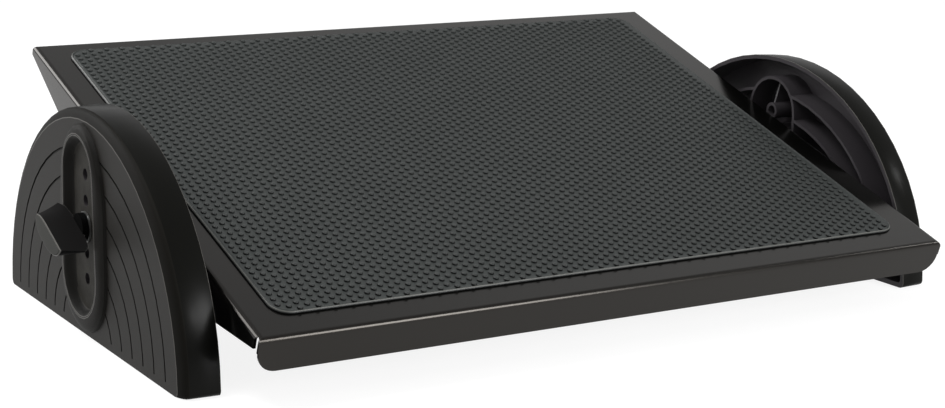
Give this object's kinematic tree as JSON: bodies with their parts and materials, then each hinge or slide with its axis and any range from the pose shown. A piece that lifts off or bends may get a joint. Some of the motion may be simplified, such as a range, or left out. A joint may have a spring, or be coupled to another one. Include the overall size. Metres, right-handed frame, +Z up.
{
  "type": "tilting under desk footrest",
  "caption": "Tilting foot platform: folded steel deck with a dimpled rubber mat, hung between half-round side stands and clamped by wing knobs.",
  "frame": {"origin": "middle of the footprint at floor level", "axes": "+X to the sitter's right, +Y away from the sitter towards the raised edge of the deck, +Z up"},
  "size_m": [0.5468, 0.3218, 0.1402],
  "materials": {
    "coated_steel": "charcoal powder coat, fine texture",
    "mat_rubber": "matt, dimpled",
    "stand_plastic": "moulded, fine grain",
    "pad_rubber": "matt",
    "knob_plastic": "moulded, semi-matt",
    "zinc_steel": "bright zinc plate",
    "nylon": "smooth"
  },
  "bodies": {
    "left_side": {"left_stand": "stand_plastic", "left_front_pad": "pad_rubber", "left_back_pad": "pad_rubber"},
    "deck": {"deck_plate": "coated_steel", "foot_mat": "mat_rubber", "left_weld_nut": "zinc_steel", "right_weld_nut": "zinc_steel", "left_friction_washer": "nylon", "right_friction_washer": "nylon"},
    "right_side": {"right_stand": "stand_plastic", "right_front_pad": "pad_rubber", "right_back_pad": "pad_rubber"},
    "left_clamp_washer": {"left_washer": "zinc_steel"},
    "left_clamp_knob": {"left_knob": "knob_plastic", "left_knob_screw": "zinc_steel"},
    "right_clamp_washer": {"right_washer": "zinc_steel"},
    "right_clamp_knob": {"right_knob": "knob_plastic", "right_knob_screw": "zinc_steel"}
  },
  "joints": [
    {"name": "deck_tilt", "type": "hinge", "parent": "left_side", "child": "deck", "pos_m": [0, 0.00777, 0.0621], "axis": [1, 0, 0], "range_deg": [-42.3, 6.9]},
    {"name": "right_stand_turn", "type": "hinge", "parent": "deck", "child": "right_side", "pos_m": [0, 0.00777, 0.0621], "axis": [1, 0, 0], "range_deg": [-6.9, 42.3]},
    {"name": "left_screw_travel", "type": "slide", "parent": "left_side", "child": "left_clamp_washer", "axis": [-1, 0, 0], "range_m": [0, 0.005]},
    {"name": "left_knob_turn", "type": "hinge", "parent": "left_clamp_washer", "child": "left_clamp_knob", "pos_m": [-0.26, 0.00777, 0.0621], "axis": [-1, 0, 0], "range_deg": [0, 1800]},
    {"name": "right_screw_travel", "type": "slide", "parent": "right_side", "child": "right_clamp_washer", "axis": [1, 0, 0], "range_m": [0, 0.005]},
    {"name": "right_knob_turn", "type": "hinge", "parent": "right_clamp_washer", "child": "right_clamp_knob", "pos_m": [0.26, 0.00777, 0.0621], "axis": [1, 0, 0], "range_deg": [0, 1800]}
  ],
  "couplings": [
    {"joint": "right_stand_turn", "follows": "deck_tilt", "ratio": -1},
    {"joint": "left_screw_travel", "follows": "left_knob_turn", "m_per_rad": 0.00015915},
    {"joint": "right_screw_travel", "follows": "right_knob_turn", "m_per_rad": 0.00015915}
  ]
}
